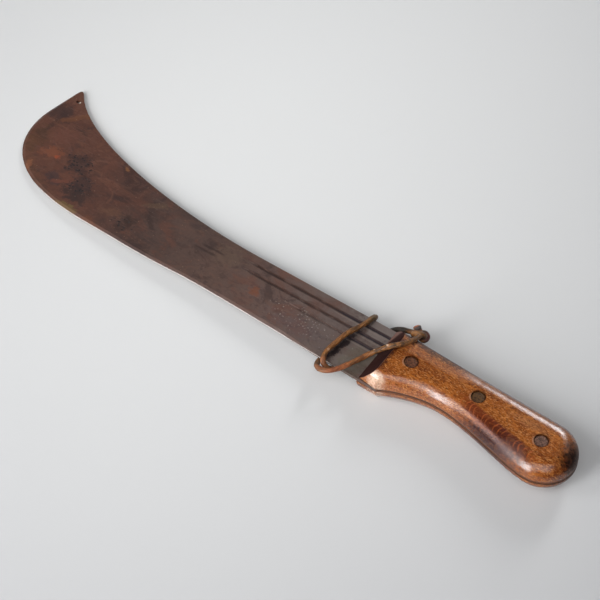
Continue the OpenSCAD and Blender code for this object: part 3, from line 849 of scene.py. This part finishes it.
LEATHER_TONES = [
    (0.34, (68, 43, 22)),
    (0.48, (116, 78, 42)),
    (0.62, (160, 104, 54)),
]
LEATHER_PATCHES_AND_PAINTED_LIGHT = [
    # centre, size, turn, strength, colour
    ((-11, -46, 6), (15, 9, 6), 45, 0.35, (190, 96, 60)),
    ((-20, -50, 4), (9, 6, 6), 0, 0.45, (124, 84, 56)),
    ((-22, -46, 5), (7, 8, 8), 0, 0.4, (148, 82, 50)),
    ((-4, -31, 6), (13, 10, 6), 0, 0.3, (152, 84, 44)),
    ((-24, -30, 5), (8, 16, 5), 0, 0.4, (150, 92, 44)),
    ((-16, -2, 4), (7, 9, 5), 0, 0.6, (92, 74, 40)),
    # painted shade: the thong's strand behind the blade, darkened as if in shadow
    ((-1, 4.5, -1), (15, 7, 7), 0, 0.95, (30, 26, 20)),
    ((18, 6, 4), (5, 6, 6), 0, 0.7, (112, 62, 62)),
    ((14, 0.4, 11), (8, 4, 4), 0, 0.5, (140, 98, 56)),
    # painted shade in the knot, under its wrap
    ((15.5, 2.6, 5.6), (5, 4, 2.6), 0, 0.75, (40, 25, 16)),
    ((11.6, 4.3, 8.4), (5, 5, 2.2), 0, 0.85, (186, 92, 52)),
    ((11.2, 4.3, 10.7), (6, 6, 1.5), 0, 0.95, (58, 51, 52)),
    # painted highlights: three pale glints on the thong
    ((5.3, -18.4, 12), (1.3, 1.2, 3), 0, 0.85, (222, 186, 156)),
    ((-0.9, -22.9, 9), (1.4, 1.0, 3), 0, 0.8, (214, 172, 138)),
    ((-23.5, -36.5, 6.5), (1.4, 1.6, 2), 0, 0.6, (206, 160, 124)),
]


def thong_leather():
    p = Paint("thong_leather")
    rough = p.rough(1.6, 6)
    lay = p.node("ShaderNodeAttribute", attribute_name="lay").outputs["Vector"]
    fibre = p.noise(0.6, 3, 0.65, (1, 1, 8), 5, place=lay)
    colour = p.ramp(p.noise(4.0, 5, 0.65, shift=4, twist=1.0), LEATHER_TONES)
    colour = p.paint(colour, p.fade(fibre, 0.51, 0.62), 0.75, (50, 30, 15))
    colour = p.paint(colour, p.fade(fibre, 0.46, 0.34), 0.5, (178, 118, 66))
    colour = p.paint_patches(colour, LEATHER_PATCHES_AND_PAINTED_LIGHT, 0.35, rough, 1.2)
    return p.finish(colour, 0.5, p.bump(rough, 0.25, after=p.bump(fibre, 0.3)))


def paint_over(material, *objects):
    for obj in objects:
        obj.data.materials.clear()
        obj.data.materials.append(material)


paint_over(blade_steel(), nodes["blade"])
paint_over(handle_wood(), upper_scale, lower_scale)
RIVET_LOOKS = {
    # light colour, dark colour, shift of the blotches
    "front": ((118, 70, 44), (62, 36, 22), 0),
    "middle": ((104, 70, 34), (56, 36, 16), 20),
    "rear": ((138, 100, 84), (78, 54, 44), 40),
}
for where, look in RIVET_LOOKS.items():
    metal = rivet_metal("rivet_metal_" + where, *look)
    paint_over(metal, nodes["rivet_" + where], nodes["burr_" + where])
paint_over(thong_leather(), lace, knot)

# Floor, lamps and backdrop, in metres in the row frame
FLOOR_CONTACT_X, FLOOR_SLOPE, FLOOR_HALF, FLOOR_GAP = 0.0756, 0.0338, 6.0, 0.0001
PALE_LIGHT = (0.95, 0.97, 1.0, 1)
LIT_SPOT = Vector((0.03, -0.01, 0.01))


def make_floor():
    """It touches the tip and the front of the handle, as the machete lies."""
    corners = [
        (x, y, -FLOOR_SLOPE * (x - FLOOR_CONTACT_X) - FLOOR_GAP)
        for x, y in FLOOR_HALF * np.array([(-1, -1), (1, -1), (1, 1), (-1, 1)])
    ]
    floor = new_object("floor", corners, [(0, 1, 2, 3)], smooth=False)
    p = Paint("floor")
    lit = p.patch((-174, 122), (1016, 1160), 30, 0.8)
    colour = p.mix(lit, tone(137, 137, 143), tone(242, 243, 243))
    # far away it is pale and shines a little for the camera, and so joins the pale background
    away = p.node("ShaderNodeVectorMath", operation="LENGTH")
    p.feed(away.inputs[0], p.place)
    away = away.outputs["Value"]
    seen = p.node("ShaderNodeLightPath").outputs["Is Camera Ray"]
    colour = p.mix(p.times(p.fade(away, 350, 560), seen), colour, tone(243, 244, 244))
    haze = p.times(p.fade(away, 350, 1050, 0.0, 0.5), seen)
    paint_over(
        p.finish(colour, 0.75, Emission_Color=PALE_LIGHT, Emission_Strength=haze), floor
    )


def soft_light(name, way, distance, size, power):
    """A rectangular lamp that lies the given way and distance from the machete."""
    data = bpy.data.lights.new(name, "AREA")
    data.shape = "RECTANGLE"
    data.size, data.size_y = size
    data.energy = power
    lamp = bpy.data.objects.new(name, data)
    bpy.context.scene.collection.objects.link(lamp)
    lamp.location = LIT_SPOT + Vector(way).normalized() * distance
    lamp.rotation_mode = "QUATERNION"
    lamp.rotation_quaternion = (-Vector(way)).to_track_quat("-Z", "Y")


def make_world():
    """Dim above, with a pale backdrop low down behind the machete. The camera sees it pale
    all round."""
    world = bpy.data.worlds.new("studio")
    world.use_nodes = True
    tree = world.node_tree
    way = tree.nodes.new("ShaderNodeSeparateXYZ")
    tree.links.new(tree.nodes.new("ShaderNodeTexCoord").outputs["Generated"], way.inputs[0])
    dim, low_glow, camera_glow = 0.06, 0.5, 0.7
    low = smooth_range(tree, way.outputs[2], 0.42, 0.1, dim, low_glow)
    glow = smooth_range(tree, way.outputs[1], -0.2, 0.5, dim, low)
    glow = smooth_range(tree, way.outputs[0], 0.4, -0.1, dim, glow)
    camera_ray = tree.nodes.new("ShaderNodeLightPath").outputs["Is Camera Ray"]
    background = tree.nodes["Background"]
    background.inputs["Color"].default_value = PALE_LIGHT
    tree.links.new(
        smooth_range(tree, camera_ray, 0, 1, glow, camera_glow), background.inputs["Strength"]
    )
    bpy.context.scene.world = world


make_floor()
soft_light("key", (-0.17, -0.84, 0.5), 1.5, (0.44, 1.1), 17.3)
soft_light("side", (-0.58, -0.6, 0.6), 1.5, (0.5, 1.0), 6)
soft_light("rear", (-0.04, 0.86, 0.47), 1.5, (0.3, 0.6), 7)
soft_light("fill", (0.3, -0.45, 0.84), 1.8, (1.3, 1.3), 9)
make_world()
bpy.context.scene.view_settings.view_transform = "Standard"
